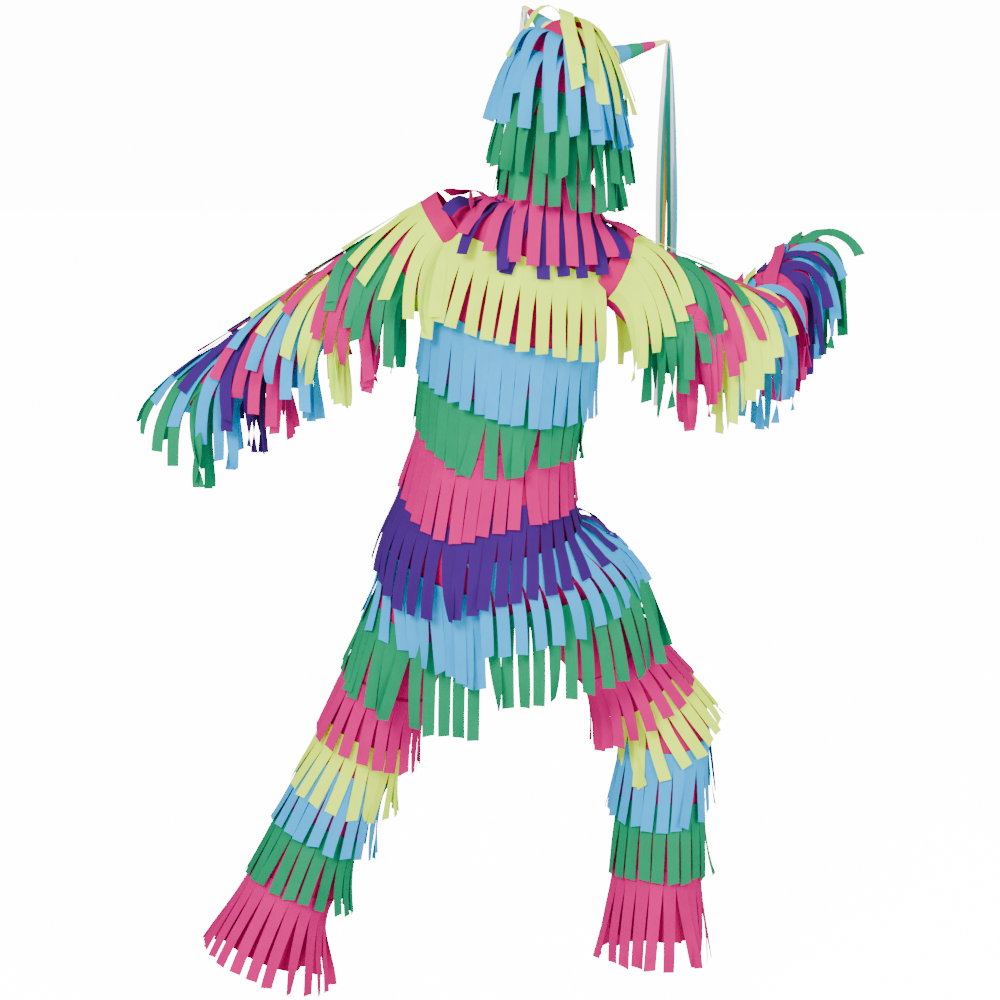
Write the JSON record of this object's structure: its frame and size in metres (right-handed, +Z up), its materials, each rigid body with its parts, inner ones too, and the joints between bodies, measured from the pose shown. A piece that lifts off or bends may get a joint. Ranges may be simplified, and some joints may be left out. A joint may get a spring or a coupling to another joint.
{
  "type": "fringed pinata costume",
  "caption": "Hooded one-piece pinata costume covered in rows of cut felt fringe, with two horns, horn ribbons and a front zip, as worn in a wide dancing step.",
  "frame": {"origin": "centre of the neck opening", "axes": "+Z up, +Y the front of the suit, -X the wearer's left"},
  "size_m": [1.3276, 0.5111, 1.8209],
  "materials": {
    "suit_cloth": "matte woven cloth",
    "felt_magenta": "matte felt",
    "felt_yellow": "matte felt",
    "felt_cyan": "matte felt",
    "felt_green": "matte felt",
    "felt_purple": "matte felt",
    "horn_cloth": "striped matte cloth over stuffing",
    "ribbon_satin": "satin ribbon in mixed colours",
    "tape": "woven tape",
    "zip_metal": "satin"
  },
  "bodies": {
    "suit": {"back_panel": "suit_cloth", "front_left_panel": "suit_cloth", "front_right_panel": "suit_cloth", "hanger_loop": "tape", "zip_tapes": "tape", "zip_teeth": "zip_metal", "zip_stops": "zip_metal", "collar_fringe_magenta": "felt_magenta", "collar_fringe_purple": "felt_purple", "chest_fringe_yellow": "felt_yellow", "midriff_fringe_cyan": "felt_cyan", "waist_fringe_green": "felt_green", "hip_fringe_magenta": "felt_magenta", "seat_fringe_purple": "felt_purple", "seat_fringe_cyan": "felt_cyan", "seat_fringe_green": "felt_green"},
    "hood": {"hood_shell": "suit_cloth", "mane_fringe_yellow": "felt_yellow", "hood_fringe_cyan": "felt_cyan", "hood_fringe_green": "felt_green", "left_horn": "horn_cloth", "right_horn": "horn_cloth"},
    "left_ribbons": {"left_horn_ribbons": "ribbon_satin"},
    "right_ribbons": {"right_horn_ribbons": "ribbon_satin"},
    "left_upper_arm": {"left_upper_sleeve": "suit_cloth", "left_shoulder_fringe_yellow": "felt_yellow", "left_sleeve_fringe_green": "felt_green", "left_sleeve_fringe_magenta": "felt_magenta"},
    "left_forearm": {"left_forearm_sleeve": "suit_cloth", "left_sleeve_fringe_cyan": "felt_cyan", "left_forearm_fringe_magenta": "felt_magenta", "left_forearm_fringe_purple": "felt_purple", "left_forearm_fringe_cyan": "felt_cyan", "left_cuff_fringe_green": "felt_green"},
    "left_upper_leg": {"left_thigh": "suit_cloth", "left_thigh_fringe_magenta": "felt_magenta", "left_knee_fringe_yellow": "felt_yellow"},
    "left_lower_leg": {"left_shin": "suit_cloth", "left_shin_fringe_cyan": "felt_cyan", "left_shin_fringe_green": "felt_green", "left_hem_fringe_magenta": "felt_magenta"},
    "right_upper_arm": {"right_upper_sleeve": "suit_cloth", "right_shoulder_fringe_yellow": "felt_yellow", "right_sleeve_fringe_green": "felt_green", "right_sleeve_fringe_magenta": "felt_magenta"},
    "right_forearm": {"right_forearm_sleeve": "suit_cloth", "right_sleeve_fringe_cyan": "felt_cyan", "right_forearm_fringe_magenta": "felt_magenta", "right_forearm_fringe_purple": "felt_purple", "right_forearm_fringe_cyan": "felt_cyan", "right_cuff_fringe_green": "felt_green"},
    "right_upper_leg": {"right_thigh": "suit_cloth", "right_thigh_fringe_magenta": "felt_magenta", "right_knee_fringe_yellow": "felt_yellow"},
    "right_lower_leg": {"right_shin": "suit_cloth", "right_shin_fringe_cyan": "felt_cyan", "right_shin_fringe_green": "felt_green", "right_hem_fringe_magenta": "felt_magenta"},
    "zip_slider": {"zip_slider": "zip_metal"},
    "zip_pull": {"zip_pull": "zip_metal"}
  },
  "joints": [
    {"name": "hood_turn", "type": "hinge", "parent": "suit", "child": "hood", "pos_m": [0.002, 0.002, 0.028], "axis": [0, 0, 1], "range_deg": [-35, 35], "deforming": ["hood_fringe_green", "hood_fringe_cyan", "mane_fringe_yellow", "collar_fringe_magenta", "collar_fringe_purple", "chest_fringe_yellow"]},
    {"name": "zip_slide", "type": "slide", "parent": "suit", "child": "zip_slider", "axis": [-0.1554, 0.2105, -0.9652], "range_m": [0, 0.42]},
    {"name": "zip_pull_swing", "type": "hinge", "parent": "zip_slider", "child": "zip_pull", "pos_m": [-0.0339, 0.12994, -0.05987], "axis": [0.9873, 0, -0.1589], "range_deg": [0, 150]},
    {"name": "left_ribbons_swing", "type": "hinge", "parent": "hood", "child": "left_ribbons", "pos_m": [-0.03637, 0.20587, 0.32677], "axis": [0, 1, 0], "range_deg": [-25, 25], "deforming": ["left_horn_ribbons"]},
    {"name": "right_ribbons_swing", "type": "hinge", "parent": "hood", "child": "right_ribbons", "pos_m": [0.21792, 0.16638, 0.26489], "axis": [0, 1, 0], "range_deg": [-25, 25], "deforming": ["right_horn_ribbons"]},
    {"name": "left_shoulder", "type": "hinge", "parent": "suit", "child": "left_upper_arm", "pos_m": [-0.172, 0.01, -0.055], "axis": [0, 1, 0], "range_deg": [-5, 25], "deforming": ["left_shoulder_fringe_yellow", "left_sleeve_fringe_green", "left_sleeve_fringe_magenta"]},
    {"name": "left_elbow", "type": "hinge", "parent": "left_upper_arm", "child": "left_forearm", "pos_m": [-0.40176, 0.0301, -0.20478], "axis": [0.5461, 0, -0.8377], "range_deg": [-5, 30], "deforming": ["left_sleeve_fringe_cyan", "left_forearm_fringe_magenta", "left_forearm_fringe_purple", "left_forearm_fringe_cyan", "left_cuff_fringe_green"]},
    {"name": "right_shoulder", "type": "hinge", "parent": "suit", "child": "right_upper_arm", "pos_m": [0.112, 0.01, -0.115], "axis": [0, -1, 0], "range_deg": [-5, 25], "deforming": ["right_shoulder_fringe_yellow", "right_sleeve_fringe_green", "right_sleeve_fringe_magenta"]},
    {"name": "right_elbow", "type": "hinge", "parent": "right_upper_arm", "child": "right_forearm", "pos_m": [0.35576, 0.07078, -0.22685], "axis": [0.4484, -0.6281, 0.636], "range_deg": [-35, 12], "deforming": ["right_sleeve_fringe_cyan", "right_forearm_fringe_magenta", "right_forearm_fringe_purple", "right_forearm_fringe_cyan", "right_cuff_fringe_green"]},
    {"name": "left_hip", "type": "hinge", "parent": "suit", "child": "left_upper_leg", "pos_m": [-0.184, 0.12, -0.653], "axis": [1, 0, 0], "range_deg": [-15, 20], "deforming": ["left_thigh_fringe_magenta", "seat_fringe_cyan", "seat_fringe_green", "seat_fringe_purple", "hip_fringe_magenta"]},
    {"name": "left_knee", "type": "hinge", "parent": "left_upper_leg", "child": "left_lower_leg", "pos_m": [-0.34816, 0.20167, -1.03974], "axis": [-0.9205, 0, 0.3907], "range_deg": [-5, 30], "deforming": ["left_knee_fringe_yellow", "left_shin_fringe_cyan", "left_shin_fringe_green", "left_hem_fringe_magenta"]},
    {"name": "right_hip", "type": "hinge", "parent": "suit", "child": "right_upper_leg", "pos_m": [-0.028, 0.12, -0.647], "axis": [1, 0, 0], "range_deg": [-15, 20], "deforming": ["right_thigh_fringe_magenta", "waist_fringe_green", "midriff_fringe_cyan"]},
    {"name": "right_knee", "type": "hinge", "parent": "right_upper_leg", "child": "right_lower_leg", "pos_m": [0.23335, 0.22354, -0.96974], "axis": [-0.4274, 0.9023, -0.0566], "range_deg": [-25, 12], "deforming": ["right_knee_fringe_yellow", "right_shin_fringe_cyan", "right_shin_fringe_green", "right_hem_fringe_magenta"]}
  ]
}
